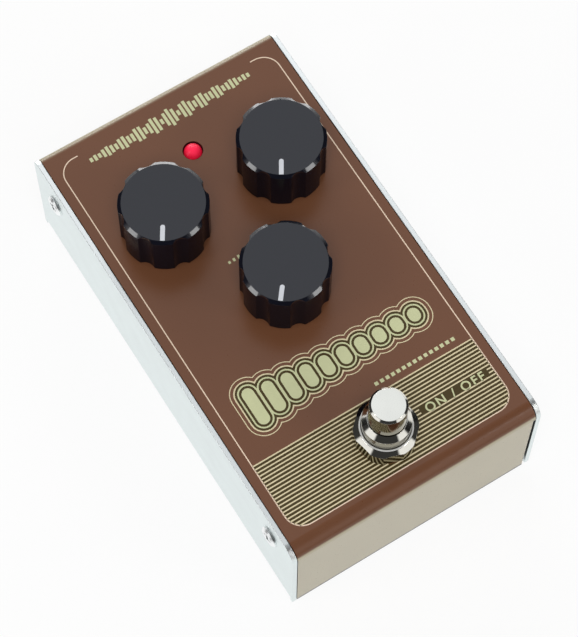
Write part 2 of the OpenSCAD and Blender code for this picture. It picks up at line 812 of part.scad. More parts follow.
// Red lens of the status lamp, on the main board and up through the cover
module status_lamp() {
    dome_z = case_h + lamp_proud - lamp_d / 2;
    color("red") in_case() translate([0, lamp_y, 0]) {
        translate([0, 0, board_top]) cylinder(d = lamp_rim_d, h = lamp_rim_h);
        translate([0, 0, board_top]) cylinder(d = lamp_d, h = dome_z - board_top);
        translate([0, 0, dome_z]) sphere(d = lamp_d);
    }
}

// Places of the lamp's leads
lead_places = [for (side = [-1, 1]) [side * lead_pitch / 2, lamp_y, board_bot - pin_past]];

// Two leads of the lamp, through the main board
module status_lamp_leads() {
    color("lightgray") in_case() for (place = lead_places)
        translate(place) cylinder(d = lead_d, h = board_t + pin_past);
}

// Main board under the controls
module main_board() {
    color("seagreen") in_case() difference() {
        translate([-board_w / 2, board_front, board_bot]) cube([board_w, board_l, board_t]);
        for (place = pot_pin_places)
            translate(place) cylinder(d = pin_d + 2 * fix_gap, h = board_t + 2 * pin_past);
        for (place = lead_places)
            translate(place) cylinder(d = lead_d + 2 * fix_gap, h = board_t + 2 * pin_past);
    }
}

// Chips under the main board
module delay_chips() {
    color("#2b2b2b") in_case() for (chip = chips)
        translate([chip[0] - chip[1] * leg_pitch / 2, chip_row - chip_w / 2, board_bot - chip_h])
            cube([chip[1] * leg_pitch, chip_w, chip_h]);
}

// Legs along both sides of each chip
module chip_legs() {
    color("lightgray") in_case() for (chip = chips, i = [0 : chip[1] - 1], side = [-1, 1])
        translate([chip[0] + (i - (chip[1] - 1) / 2) * leg_pitch - leg_w / 2,
            chip_row + side * (chip_w + leg_t) / 2 - leg_t / 2, board_bot - chip_h / 2])
            cube([leg_w, leg_t, chip_h / 2]);
}

// Round capacitors that hang from the main board
module electrolytic_capacitors() {
    color("#30343c") in_case() for (place = concat(can_fronts, can_backs))
        translate([place[0], place[1], board_bot - can_h]) cylinder(d = can_d, h = can_h);
}

// Boxed film capacitors under the main board
module film_capacitors() {
    color("indianred") in_case() for (place = films)
        translate([place[0] - film_size[0] / 2, place[1] - film_size[1] / 2, board_bot - film_size[2]])
            cube(film_size);
}

// Resistors lying under the main board on their bent leads
module resistors() {
    span = resistor_l + 2 * resistor_lead;
    drop = resistor_d / 2 + fix_gap;
    color("tan") in_case() for (side = [-1, 1], row = resistor_rows)
        translate([side * resistor_x, lower_y + row, board_bot - drop]) {
            translate([-resistor_l / 2, 0, 0]) rotate([0, 90, 0]) cylinder(d = resistor_d, h = resistor_l);
            translate([-span / 2, 0, 0]) rotate([0, 90, 0]) cylinder(d = lead_d, h = span);
            for (end = [-1, 1])
                translate([end * (span - lead_d) / 2, 0, 0]) cylinder(d = lead_d, h = drop);
        }
}

// Tip spring of a socket and its tail up to the main board, grown by a gap
module tip_spring(gap = 0) {
    width = tip_w + 2 * gap;
    tail = contact_t + 2 * gap;
    translate([-width / 2, tip_tail_y - gap, jack_z + tip_rise])
        cube([width, tail, board_bot - jack_z - tip_rise + gap]);
    if (gap == 0) {
        translate([-width / 2, tip_tail_y, jack_z + tip_rise]) cube([width, tip_l, contact_t]);
        translate([-width / 2, tip_tail_y + tip_l - 2 * tip_bump_r,
            jack_z + tip_rise + contact_t - tip_bump_r])
            rotate([0, 90, 0]) cylinder(r = tip_bump_r, h = width);
    }
}

// Quarter-inch socket: a box with a threaded nose through the back wall
module jack(side) {
    color("#26262a") in_case() translate([side * jack_x, 0, 0]) difference() {
        union() {
            translate([-jack_body_w / 2, jack_inner, jack_z - jack_body_h / 2])
                cube([jack_body_w, jack_body_l, jack_body_h]);
            rearward([0, back_in, jack_z], jack_nose_d, sheet_t + jack_out);
        }
        rearward([0, jack_mouth - jack_bore_l, jack_z], jack_bore_d, jack_bore_l + cut);
        rearward([0, jack_inner + jack_end_wall, jack_z], jack_chamber_d,
            jack_mouth - jack_bore_l - jack_inner - jack_end_wall);
        tip_spring(fix_gap);
    }
}

// Contact spring of one socket
module jack_contact(side) {
    color("gold") in_case() translate([side * jack_x, 0, 0]) tip_spring();
}

// Nuts that hold the two sockets to the back wall
module jack_nuts() {
    color("silver") in_case() for (side = [-1, 1])
        translate([side * jack_x, case_l / 2 + jack_washer_t, jack_z]) rotate([-90, 0, 0])
            nut(jack_nut_af, jack_nose_d + 2 * run_gap, jack_nut_h);
}

// Washers under those nuts
module jack_washers() {
    color("lightgray") in_case() for (side = [-1, 1])
        translate([side * jack_x, case_l / 2, jack_z]) rotate([-90, 0, 0])
            ring(jack_washer_d, jack_nose_d + 2 * fix_gap, jack_washer_t);
}

// Side spring of the power inlet and its tail up to the main board, grown by a gap
module inlet_spring(gap = 0) {
    thick = contact_t + 2 * gap;
    width = inlet_spring_w + 2 * gap;
    inner = inlet_bore_d / 2 + contact_t / 2 - gap;
    length = inlet_depth - inlet_pin_in;
    translate([inner, inlet_end - gap, inlet_z - width / 2]) cube([thick, length + 2 * gap, width]);
    translate([inner, inlet_end - gap, inlet_z]) cube([thick, width, board_bot - inlet_z + gap]);
}

// Power inlet: a box whose round nose fills its hole in the back wall
module dc_inlet() {
    bore_r = inlet_bore_d / 2;
    color("#26262a") in_case() difference() {
        union() {
            translate([-inlet_w / 2, inlet_inner, inlet_z - inlet_low])
                cube([inlet_w, inlet_l, inlet_low + board_bot - inlet_z]);
            rearward([0, back_in, inlet_z], inlet_nose_d, sheet_t);
        }
        rearward([0, inlet_end, inlet_z], inlet_bore_d, inlet_depth + cut);
        inlet_spring(fix_gap);
        translate([bore_r / 2, inlet_end - fix_gap, inlet_z - inlet_spring_w / 2 - fix_gap])
            cube([bore_r / 2 + contact_t, inlet_depth - inlet_pin_in, inlet_spring_w + 2 * fix_gap]);
    }
}

// Centre pin of the power inlet
module dc_inlet_pin() {
    color("silver") in_case()
        rearward([0, inlet_end, inlet_z], inlet_pin_d, inlet_depth - inlet_pin_in);
}

// Contact spring beside the pin
module dc_inlet_spring() {
    color("gold") in_case() inlet_spring();
}

top_cover();
base_tray();
cover_screws();
rubber_feet();
knob(mix_at, upper_rest);  // mix_knob
pointer(mix_at, upper_rest);  // mix_pointer
shaft(mix_at, upper_rest);  // mix_shaft
knob(time_at, upper_rest);  // time_knob
pointer(time_at, upper_rest);  // time_pointer
shaft(time_at, upper_rest);  // time_shaft
knob(repeats_at, lower_rest);  // repeats_knob
pointer(repeats_at, lower_rest);  // repeats_pointer
shaft(repeats_at, lower_rest);  // repeats_shaft
pot(mix_at);  // mix_pot
pot(time_at);  // time_pot
pot(repeats_at);  // repeats_pot
pot_nuts();
pot_washers();
pot_pins();
footswitch_button();
footswitch_barrel();
footswitch_nut();
footswitch_washer();
footswitch_lock_nut();
footswitch_case();
footswitch_spring();
footswitch_pins();
switch_board();
ribbon_header();
ribbon_cable();
status_lamp();
status_lamp_leads();
main_board();
delay_chips();
chip_legs();
electrolytic_capacitors();
film_capacitors();
resistors();
jack(1);  // input_jack
jack_contact(1);  // input_contact
jack(-1);  // output_jack
jack_contact(-1);  // output_contact
jack_nuts();
jack_washers();
dc_inlet();
dc_inlet_pin();
dc_inlet_spring();
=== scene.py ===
import json
import math

import bmesh
import bpy
from mathutils import Matrix, Vector


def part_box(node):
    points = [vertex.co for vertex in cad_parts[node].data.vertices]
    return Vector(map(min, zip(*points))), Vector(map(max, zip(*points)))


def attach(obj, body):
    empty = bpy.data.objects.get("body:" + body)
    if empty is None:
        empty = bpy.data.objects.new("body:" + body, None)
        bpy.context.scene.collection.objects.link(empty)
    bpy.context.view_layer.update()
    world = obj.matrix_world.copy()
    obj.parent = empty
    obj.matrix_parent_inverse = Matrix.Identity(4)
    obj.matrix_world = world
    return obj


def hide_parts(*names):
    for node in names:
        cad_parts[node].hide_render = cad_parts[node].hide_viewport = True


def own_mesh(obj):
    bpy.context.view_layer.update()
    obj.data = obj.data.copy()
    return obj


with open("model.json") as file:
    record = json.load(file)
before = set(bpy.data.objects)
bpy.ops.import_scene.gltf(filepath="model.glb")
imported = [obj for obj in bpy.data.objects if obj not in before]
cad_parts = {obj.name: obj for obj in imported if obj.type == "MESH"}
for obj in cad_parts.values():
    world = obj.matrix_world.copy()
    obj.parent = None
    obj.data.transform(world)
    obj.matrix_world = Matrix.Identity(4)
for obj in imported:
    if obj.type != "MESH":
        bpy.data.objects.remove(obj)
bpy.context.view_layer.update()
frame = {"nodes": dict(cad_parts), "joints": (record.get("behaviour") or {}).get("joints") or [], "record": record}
scene = bpy.context.scene
mm = 0.001
tiny = 1e-9  # what rounding may leave between equal places
white = (1, 1, 1, 1)
trayLow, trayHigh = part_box("base_tray")
caseY = (trayLow.y + trayHigh.y) / 2  # middle of the case; the sockets stand out behind it
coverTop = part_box("top_cover")[1].z
print("frame:", len(frame["nodes"]), "nodes")


class Wire:  # one socket of a node tree, so that node maths reads as plain sums
    def __init__(self, tree, socket=None):
        self.tree = tree
        self.socket = socket

    def node(self, kind, settings, values, out=0):
        made = self.tree.nodes.new(kind)
        for name, value in settings.items():
            setattr(made, name, value)
        for name, value in values.items():
            if isinstance(value, Wire):
                self.tree.links.new(value.socket, made.inputs[name])
            else:
                made.inputs[name].default_value = value
        return Wire(self.tree, made.outputs[out])

    def maths(self, operation, *values):
        return self.node("ShaderNodeMath", {"operation": operation}, dict(enumerate(values)))

    def __add__(self, other):
        return self.maths("ADD", self, other)

    def __sub__(self, other):
        return self.maths("SUBTRACT", self, other)

    def __rsub__(self, other):
        return self.maths("SUBTRACT", other, self)

    def __mul__(self, other):
        return self.maths("MULTIPLY", self, other)

    def __truediv__(self, other):
        return self.maths("DIVIDE", self, other)

    __radd__ = __add__
    __rmul__ = __mul__

    def step(self, low, high):  # smooth 0 to 1 between two values
        return self.node("ShaderNodeMapRange", {"interpolation_type": "SMOOTHSTEP"},
                         {"Value": self, "From Min": low, "From Max": high})

    def mix(self, factor, first, second, blend="MIX"):
        return self.node("ShaderNodeMix", {"data_type": "RGBA", "blend_type": blend},
                         {0: factor, 6: first, 7: second}, 2)

    def noise(self, place, scale, detail=2.0):
        return self.node("ShaderNodeTexNoise", {}, {"Vector": place, "Scale": scale, "Detail": detail})

    def stretched(self, place, scale):
        return self.node("ShaderNodeMapping", {}, {"Vector": place, "Scale": scale})

    def bump(self, height, distance, strength, normal):
        return self.node("ShaderNodeBump", {}, {"Height": height, "Distance": distance,
                                                "Strength": strength, "Normal": normal})

    def softEdge(self, radius):
        return self.node("ShaderNodeBevel", {"samples": 8}, {"Radius": radius})


def newFinish(name):
    material = bpy.data.materials.new(name)
    material.use_nodes = True
    tree = material.node_tree
    wire = Wire(tree)
    place = wire.node("ShaderNodeTexCoord", {}, {}, "Object")
    return material, wire, place, tree.nodes["Principled BSDF"]


def feed(shader, values):
    for name, value in values.items():
        if isinstance(value, Wire):
            value.tree.links.new(value.socket, shader.inputs[name])
        else:
            shader.inputs[name].default_value = value


def axis(wire, place, name):
    return wire.node("ShaderNodeSeparateXYZ", {}, {"Vector": place}, name)


def mottled(wire, colour, cloud, spread):  # a colour that a noise makes a little lighter and darker
    return wire.mix(1.0, colour, cloud * spread + (1 - spread / 2), "MULTIPLY")


def fromMiddle(wire, place, node):  # distance from a node's upright axis
    low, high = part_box(node)
    x = axis(wire, place, "X") - (low.x + high.x) / 2
    y = axis(wire, place, "Y") - (low.y + high.y) / 2
    return wire.maths("SQRT", x * x + y * y)


# Painted cover: brown on top, beige on the upright ends, a painted highlight on the back bend, and painted shade
# in the side gaps, in the lamp's hole and along the bottom edge
coverPaint = {
    "brown": (0.147, 0.0590, 0.0275, 1), "beige": (0.476, 0.422, 0.290, 1),
    "beigeBelow": 2.6 * mm, "beigeBlend": 0.8 * mm,  # from the cover's top down
    "backHighlightBeige": (2.2 * mm, 0.45 * mm),  # painted highlight on the back bend, in the beige of the ends: where it starts and is full, from the back in
    # a dark band along the bottom edge: the bare cut edge, and painted shade under it
    "hem": (0.050, 0.050, 0.048, 1), "hemHeight": 1.0 * mm,
    "paintedShade": (0.010, 0.010, 0.010, 1), "shadeBelow": 4.0 * mm,  # painted shade: black on the cover's sides where the gaps lie in shadow
    "shadeLeft": 0.03 * mm, "shadeRight": 0.70 * mm, "shadeBlend": 0.02 * mm,
    "lampHole": 2.58 * mm,  # painted shade on the wall of the hole too, out to this radius
    "mottle": 0.10, "mottleScale": 60, "roughness": 0.28, "roughSpread": 0.03, "specular": 0.42,
    "grainScale": 2600, "grainHeight": 0.02 * mm, "grainStrength": 0.035, "edge": 0.15 * mm,
}


def paintFinish(name, p):
    material, wire, place, shader = newFinish(name)
    low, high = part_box("top_cover")
    across, along, height = [axis(wire, place, letter) for letter in "XYZ"]
    below = coverTop - p["beigeBelow"]
    front = 1 - height.step(below - p["beigeBlend"] / 2, below + p["beigeBlend"] / 2)
    # painted highlight: the back bend is lightened to beige
    start, full = p["backHighlightBeige"]
    back = along.step(high.y - start, high.y - full)
    colour = wire.mix(wire.maths("MAXIMUM", front, back), p["brown"], p["beige"])
    # darker along the bottom edge: bare cut edge and painted shade
    hem = 1 - height.step(low.z + p["hemHeight"] / 2, low.z + p["hemHeight"])
    colour = wire.mix(hem, colour, p["hem"])
    # painted shade: the sides of the cover by the gaps are painted black, wider on the right
    right = high.x - p["shadeRight"]
    left = low.x + p["shadeLeft"]
    upper = coverTop - p["shadeBelow"]
    sides = across.step(right, right + p["shadeBlend"]) + 1 - across.step(left - p["shadeBlend"], left)
    colour = wire.mix(sides * (1 - height.step(upper, upper + p["shadeBlend"])), colour, p["paintedShade"])
    # painted shade: the wall of the lamp's hole is painted black
    hole = 1 - fromMiddle(wire, place, "status_lamp").step(p["lampHole"], p["lampHole"] + p["shadeBlend"])
    colour = wire.mix(hole, colour, p["paintedShade"])
    cloud = wire.noise(place, p["mottleScale"], detail=4)
    grain = wire.noise(place, p["grainScale"], detail=3)
    feed(shader, {
        "Base Color": mottled(wire, colour, cloud, p["mottle"]),
        "Roughness": p["roughness"] + (grain - 0.5) * p["roughSpread"],
        "Normal": wire.bump(grain, p["grainHeight"], p["grainStrength"], wire.softEdge(p["edge"])),
        "Specular IOR Level": p["specular"],
    })
    return material


# Metals: streaks run along the long side of the stretch, smudges lie over them, and an upright shade gives upright
# faces painted shade
metalWear = {"streak": 0.06, "smudge": 0.10, "smudgeScale": 140, "smudgeRough": 0.05, "bump": 0.25}
metals = {
    "bright_plate": {"colour": (0.97, 0.995, 0.975, 1), "roughness": 0.40, "spread": 0.12,
                     # painted shade for the upright faces
                     "wall": (0.80, 0.870, 0.868, 1), "wallUpTo": (0.30, 0.70),
                     "stretch": (900, 18, 900), "height": 0.004 * mm, "edge": 0.25 * mm},
    "screw_steel": {"colour": (0.95, 0.97, 0.97, 1), "roughness": 0.32, "spread": 0.06,
                    "stretch": (700, 700, 700), "height": 0.010 * mm, "edge": 0.15 * mm},
    "shaft_metal": {"colour": (0.72, 0.73, 0.74, 1), "roughness": 0.30, "spread": 0.20,
                    "stretch": (60, 60, 4000), "height": 0.010 * mm, "edge": 0.10 * mm},
    "nut_steel": {"colour": (0.70, 0.71, 0.73, 1), "roughness": 0.24, "spread": 0.15,
                  "stretch": (500, 500, 500), "height": 0.008 * mm, "edge": 0.15 * mm},
    "switch_chrome": {"colour": (0.785, 0.770, 0.705, 1), "roughness": 0.08, "spread": 0.06,
                      # painted shade for the upright faces
                      "wall": (0.26, 0.245, 0.19, 1), "wallUpTo": (0.20, 0.60),
                      "stretch": (260, 260, 260), "height": 0.006 * mm, "edge": 0.10 * mm},
    "nut_lip": {"colour": (0.80, 0.80, 0.78, 1), "roughness": 0.22, "spread": 0.06, "metallic": 0.35,
                "stretch": (260, 260, 260), "height": 0.002 * mm, "edge": 0.05 * mm},
    "spring_steel": {"colour": (0.52, 0.53, 0.55, 1), "roughness": 0.32, "spread": 0.15,
                     "stretch": (900, 900, 900), "height": 0.008 * mm, "edge": 0.10 * mm},
    "pin_tin": {"colour": (0.76, 0.76, 0.73, 1), "roughness": 0.34, "spread": 0.25,
                "stretch": (800, 800, 800), "height": 0.012 * mm, "edge": 0.08 * mm},
    "contact_brass": {"colour": (0.78, 0.58, 0.24, 1), "roughness": 0.26, "spread": 0.20,
                      "stretch": (600, 60, 600), "height": 0.006 * mm, "edge": 0.08 * mm},
    "can_dark": {"colour": (0.10, 0.12, 0.17, 1), "roughness": 0.30, "spread": 0.15,
                 "stretch": (400, 400, 400), "height": 0.006 * mm, "edge": 0.30 * mm},
}


def metalFinish(name, p):
    material, wire, place, shader = newFinish(name)
    wear = metalWear
    streaks = wire.noise(wire.stretched(place, p["stretch"]), 1.0, detail=4)
    smudge = wire.noise(place, wear["smudgeScale"], detail=3)
    least = 1 - (wear["smudge"] + wear["streak"]) / 2
    shade = smudge * wear["smudge"] + streaks * wear["streak"] + least
    colour = p["colour"]
    if "wall" in p:  # painted shade: upright faces get a darker colour than level ones
        up = axis(wire, wire.node("ShaderNodeNewGeometry", {}, {}, "Normal"), "Z")
        colour = wire.mix(up.step(*p["wallUpTo"]), p["wall"], colour)
    feed(shader, {
        "Base Color": wire.mix(1.0, colour, shade, "MULTIPLY"),
        "Metallic": p.get("metallic", 1.0),
        "Roughness": p["roughness"] + (streaks - 0.5) * p["spread"] + (smudge - 0.5) * wear["smudgeRough"],
        "Normal": wire.bump(streaks, p["height"], wear["bump"], wire.softEdge(p["edge"])),
    })
    return material


# Moulded pieces: a fine mould grain, and a little polish where it is glossy
mouldCloud = {"scale": 90, "spread": 0.16, "bump": 0.25}
plastics = {
    "pointer_white": {"colour": (0.62, 0.64, 0.68, 1), "roughness": 0.45, "spread": 0.10, "grain": 1500,
                      "height": 0.010 * mm, "edge": 0.10 * mm},
    "pot_body": {"colour": (0.045, 0.060, 0.035, 1), "roughness": 0.50, "spread": 0.15, "grain": 1200,
                 "height": 0.020 * mm, "edge": 0.20 * mm},
    "switch_blue": {"colour": (0.020, 0.060, 0.260, 1), "roughness": 0.45, "spread": 0.15, "grain": 1200,
                    "height": 0.020 * mm, "edge": 0.25 * mm},
    "header_ivory": {"colour": (0.68, 0.63, 0.45, 1), "roughness": 0.48, "spread": 0.12, "grain": 1200,
                     "height": 0.015 * mm, "edge": 0.20 * mm},
    "chip_black": {"colour": (0.020, 0.020, 0.021, 1), "roughness": 0.58, "spread": 0.18, "grain": 1800,
                   "height": 0.025 * mm, "edge": 0.15 * mm},
    "film_red": {"colour": (0.300, 0.035, 0.020, 1), "roughness": 0.30, "spread": 0.12, "grain": 700,
                 "height": 0.030 * mm, "edge": 0.50 * mm, "coat": 0.4},
    "socket_black": {"colour": (0.018, 0.018, 0.020, 1), "roughness": 0.42, "spread": 0.14, "grain": 1400,
                     "height": 0.018 * mm, "edge": 0.20 * mm},
    "foot_rubber": {"colour": (0.016, 0.016, 0.016, 1), "roughness": 0.82, "spread": 0.16, "grain": 1600,
                    "height": 0.060 * mm, "edge": 0.30 * mm},
}


def mouldedFinish(name, p):
    material, wire, place, shader = newFinish(name)
    grain = wire.noise(place, p["grain"], detail=3)
    cloud = wire.noise(place, mouldCloud["scale"], detail=3)
    feed(shader, {
        "Base Color": mottled(wire, p["colour"], cloud, mouldCloud["spread"]),
        "Roughness": p["roughness"] + (grain - 0.5) * p["spread"] + (cloud - 0.5) * p["spread"],
        "Normal": wire.bump(grain, p["height"], mouldCloud["bump"], wire.softEdge(p["edge"])),
        "Coat Weight": p.get("coat", 0.0),
    })
    return material, wire, place, shader


# Knobs: black all through, dull on the fluted side and polished on the top and its bevel
knobBlack = {"colour": (0.0042, 0.0045, 0.0095, 1), "roughness": 0.22, "spread": 0.06, "grain": 900,
             "height": 0.003 * mm, "edge": 0.26 * mm, "specular": 0.1,
             "polishBelow": 0.64 * mm, "polishBlend": 0.06 * mm, "polishRoughness": 0.07}


def knobFinish(name, p):
    material, wire, place, shader = mouldedFinish(name, p)
    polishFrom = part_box("mix_knob")[1].z - p["polishBelow"]
    feed(shader, {
        "Coat Weight": axis(wire, place, "Z").step(polishFrom - p["polishBlend"], polishFrom),
        "Coat Roughness": p["polishRoughness"],
        "Specular IOR Level": p["specular"],
    })
    return material


# Status lamp: a red lens that glows a little
lampLens = {"rim": (0.55, 0.004, 0.020, 1), "heart": (0.90, 0.022, 0.075, 1), "glow": 0.32,
            "heartEnds": (0.81 * mm, 2.7 * mm), "roughness": 0.34, "roughSpread": 0.05, "specular": 0.3,
            "fleck": (1.0, 0.10, 0.16, 1), "fleckScale": 900, "fleckShare": 0.25, "fleckFrom": (0.58, 0.75)}


def lampFinish(name, p):
    material, wire, place, shader = newFinish(name)
    fleck = wire.noise(place, p["fleckScale"], detail=2)
    colour = wire.mix(fromMiddle(wire, place, "status_lamp").step(*p["heartEnds"]), p["heart"], p["rim"])
    colour = wire.mix(fleck.step(*p["fleckFrom"]) * p["fleckShare"], colour, p["fleck"])
    feed(shader, {"Base Color": colour, "Roughness": p["roughness"] + fleck * p["roughSpread"],
                  "Emission Color": colour, "Emission Strength": p["glow"],
                  "Specular IOR Level": p["specular"]})
    return material


# Circuit boards: solder mask with paler tracks under it
boardMask = {"mask": (0.010, 0.075, 0.030, 1), "track": (0.020, 0.125, 0.050, 1), "roughness": 0.32,
             "cell": 330, "tracksEach": 2.5, "trackEdge": (0.42, 0.5), "trackRough": 0.06,
             "trackHeight": 0.035 * mm, "bump": 0.5, "edge": 0.1 * mm}


def boardFinish(name, p):
    material, wire, place, shader = newFinish(name)
    cells = wire.node("ShaderNodeTexVoronoi", {"distance": "MANHATTAN", "feature": "F1"},
                      {"Vector": place, "Scale": p["cell"]})
    track = wire.maths("FRACT", cells * p["tracksEach"]).step(*p["trackEdge"])
    feed(shader, {"Base Color": wire.mix(track, p["mask"], p["track"]),
                  "Roughness": p["roughness"] + track * p["trackRough"],
                  "Normal": wire.bump(track, p["trackHeight"], p["bump"], wire.softEdge(p["edge"]))})
    return material


# Ribbon cable: round wires side by side, the first one red
ribbonWires = {"grey": (0.235, 0.250, 0.285, 1), "red": (0.42, 0.02, 0.02, 1), "redEnds": (0.95, 1.05),
               "wires": 6, "roughness": 0.5, "crownPolish": 0.08, "crownHeight": 0.15 * mm, "bump": 0.6,
               "edge": 0.05 * mm}


def ribbonFinish(name, p):
    material, wire, place, shader = newFinish(name)
    low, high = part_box("ribbon_cable")
    count = (axis(wire, place, "X") - low.x) * (p["wires"] / (high.x - low.x))
    aside = (wire.maths("FRACT", count) - 0.5) * 2
    first = 1 - count.step(*p["redEnds"])
    crown = 1 - aside * aside
    feed(shader, {"Base Color": wire.mix(first, p["grey"], p["red"]),
                  "Roughness": p["roughness"] - crown * p["crownPolish"],
                  "Normal": wire.bump(crown, p["crownHeight"], p["bump"], wire.softEdge(p["edge"]))})
    return material


# Resistors: lacquered bodies with painted bands, on tinned leads
resistorPaint = {"body": (0.480, 0.315, 0.150, 1), "bands": (0.16, 0.035, 0.012, 1), "roughness": 0.38,
                 "bandPitch": 1.3 * mm, "bandEnds": (0.35, 0.45), "cloudScale": 400, "roughSpread": 0.12,
                 "height": 0.03 * mm, "bump": 0.3, "edge": 0.3 * mm}


def resistorFinish(name, p):
    material, wire, place, shader = newFinish(name)
    run = axis(wire, place, "X") / p["bandPitch"]
    band = 1 - wire.maths("FRACT", run).step(*p["bandEnds"])
    cloud = wire.noise(place, p["cloudScale"], detail=2)
    feed(shader, {"Base Color": wire.mix(band, p["body"], p["bands"]),
                  "Roughness": p["roughness"] + (cloud - 0.5) * p["roughSpread"],
                  "Normal": wire.bump(cloud, p["height"], p["bump"], wire.softEdge(p["edge"]))})
    return material


# Printed inks: thin, a little uneven
inkCoat = {"cloudScale": 500, "spread": 0.10, "roughness": 0.46, "roughSpread": 0.1, "specular": 0.3}
inks = {
    "creamInk": (0.710, 0.620, 0.400, 1),
    "frameInk": (0.820, 0.650, 0.500, 1),
    "paleInk": (0.590, 0.610, 0.360, 1),
    "oliveInk": (0.062, 0.042, 0.012, 1),
}


def inkFinish(name, colour, p):
    material, wire, place, shader = newFinish(name)
    cloud = wire.noise(place, p["cloudScale"], detail=3)
    feed(shader, {"Base Color": mottled(wire, colour, cloud, p["spread"]),
                  "Roughness": p["roughness"] + (cloud - 0.5) * p["roughSpread"],
                  "Specular IOR Level": p["specular"]})
    return material


finishes = {"cover_paint": paintFinish("coverPaint", coverPaint),
            "knob_black": knobFinish("knobBlack", knobBlack),
            "lamp_red": lampFinish("lampLens", lampLens),
            "board_green": boardFinish("boardMask", boardMask),
            "ribbon_grey": ribbonFinish("ribbonWires", ribbonWires),
            "resistor_tan": resistorFinish("resistorPaint", resistorPaint)}
finishes.update({slot: metalFinish(slot, p) for slot, p in metals.items()})
finishes.update({slot: mouldedFinish(slot, p)[0] for slot, p in plastics.items()})
ink = {name: inkFinish(name, colour, inkCoat) for name, colour in inks.items()}
for part in frame["record"]["subparts"]:
    frame["nodes"][part["node"]].material_slots[0].material = finishes[part["material_slot"]]
print("finishes:", len(finishes), "on the CAD nodes,", len(ink), "inks")


def arc(x, y, radius, start, end, steps=16):
    turns = [math.radians(start + (end - start) * i / steps) for i in range(steps + 1)]
    return [(x + radius * math.cos(t), y + radius * math.sin(t)) for t in turns]


def ribbonLoop(path, width):  # closed outline of a line of that width along an open path
    left, right = [], []
    for i, (x, y) in enumerate(path):
        x0, y0 = path[max(i - 1, 0)]
        x1, y1 = path[min(i + 1, len(path) - 1)]
        length = math.hypot(x1 - x0, y1 - y0)
        nx, ny = (y0 - y1) / length * width / 2, (x1 - x0) / length * width / 2
        left.append((x + nx, y + ny))
        right.append((x - nx, y - ny))
    return left + right[::-1]


def tidyMesh(mesh):
    work = bmesh.new()
    work.from_mesh(mesh)
    bmesh.ops.remove_doubles(work, verts=work.verts, dist=tiny)
    bmesh.ops.recalc_face_normals(work, faces=work.faces)
    work.to_mesh(mesh)
    work.free()


def plainMesh(source):  # what an object shows, as a mesh of its own
    bpy.context.view_layer.update()
    return bpy.data.meshes.new_from_object(source.evaluated_get(bpy.context.evaluated_depsgraph_get()))


def settle(name, mesh, finish):  # a finished piece on the case
    tidyMesh(mesh)
    mesh.materials.clear()
    mesh.materials.append(finish)
    piece = bpy.data.objects.new(name, mesh)
    scene.collection.objects.link(piece)
    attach(piece, "case")
    return piece


def onCover(mesh, base, thick):  # from flat millimetres about z 0 to a sheet on the cover
    lift = coverTop + (base + thick / 2) * mm
    mesh.transform(Matrix.Translation((0, caseY, lift)) @ Matrix.Scale(mm, 4))


inkLayer = {"ground": (0.0, 0.015), "line": (0.0, 0.030)}  # lowest point and thickness, mm above the cover


def inkSheet(name, loops, layer, finish):
    base, thick = inkLayer[layer]
    flat = bpy.data.curves.new(name, "CURVE")
    flat.dimensions = "2D"
    flat.fill_mode = "BOTH"
    flat.extrude = thick / 2
    for loop in loops:
        spline = flat.splines.new("POLY")
        spline.points.add(len(loop) - 1)
        spline.points.foreach_set("co", [c for x, y in loop for c in (x, y, 0, 1)])
        spline.use_cyclic_u = True
    holder = bpy.data.objects.new(name + "Curve", flat)
    scene.collection.objects.link(holder)
    mesh = plainMesh(holder)
    bpy.data.objects.remove(holder)
    onCover(mesh, base, thick)
    return settle(name, mesh, ink[finish])


def growTree(name, sizes):  # an empty geometry tree with named inputs
    tree = bpy.data.node_groups.new(name, "GeometryNodeTree")
    for label, kind in {"Geometry": "Geometry", **sizes}.items():
        tree.interface.new_socket(label, in_out="INPUT", socket_type="NodeSocket" + kind)
    tree.interface.new_socket("Geometry", in_out="OUTPUT", socket_type="NodeSocketGeometry")
    entry = tree.nodes.new("NodeGroupInput")
    return tree, Wire(tree), {s.name: Wire(tree, s) for s in entry.outputs if s.name}


def closeTree(tree, wire, shape, finish):
    shape = wire.node("GeometryNodeRealizeInstances", {}, {"Geometry": shape})
    shape = wire.node("GeometryNodeSetMaterial", {}, {"Geometry": shape, "Material": finish})
    end = tree.nodes.new("NodeGroupOutput")
    tree.links.new(shape.socket, end.inputs["Geometry"])


def grow(name, tree, seedMesh, sizes):
    holder = bpy.data.objects.new(name + "Seed", seedMesh)
    scene.collection.objects.link(holder)
    modifier = holder.modifiers.new(name, "NODES")
    modifier.node_group = tree
    for item in tree.interface.items_tree:
        if item.in_out == "INPUT" and item.name in sizes:
            modifier[item.identifier] = sizes[item.name]
    mesh = plainMesh(holder)
    holder.modifiers.remove(modifier)
    bpy.data.objects.remove(holder)
    return mesh


def dashTree():  # a box on each point, as long and wide as the point says
    tree, wire, size = growTree("printedDashes", {"Ink Thickness": "Float", "Ink": "Material"})
    block = wire.node("ShaderNodeCombineXYZ", {}, {"X": 1.0, "Y": 1.0, "Z": size["Ink Thickness"]})
    box = wire.node("GeometryNodeMeshCube", {}, {"Size": block})
    span = wire.node("GeometryNodeInputNamedAttribute", {"data_type": "FLOAT_VECTOR"}, {"Name": "dashSize"})
    dots = wire.node("GeometryNodeInstanceOnPoints", {}, {"Points": size["Geometry"], "Instance": box,
                                                          "Scale": span})
    closeTree(tree, wire, dots, size["Ink"])
    return tree


dashes = dashTree()


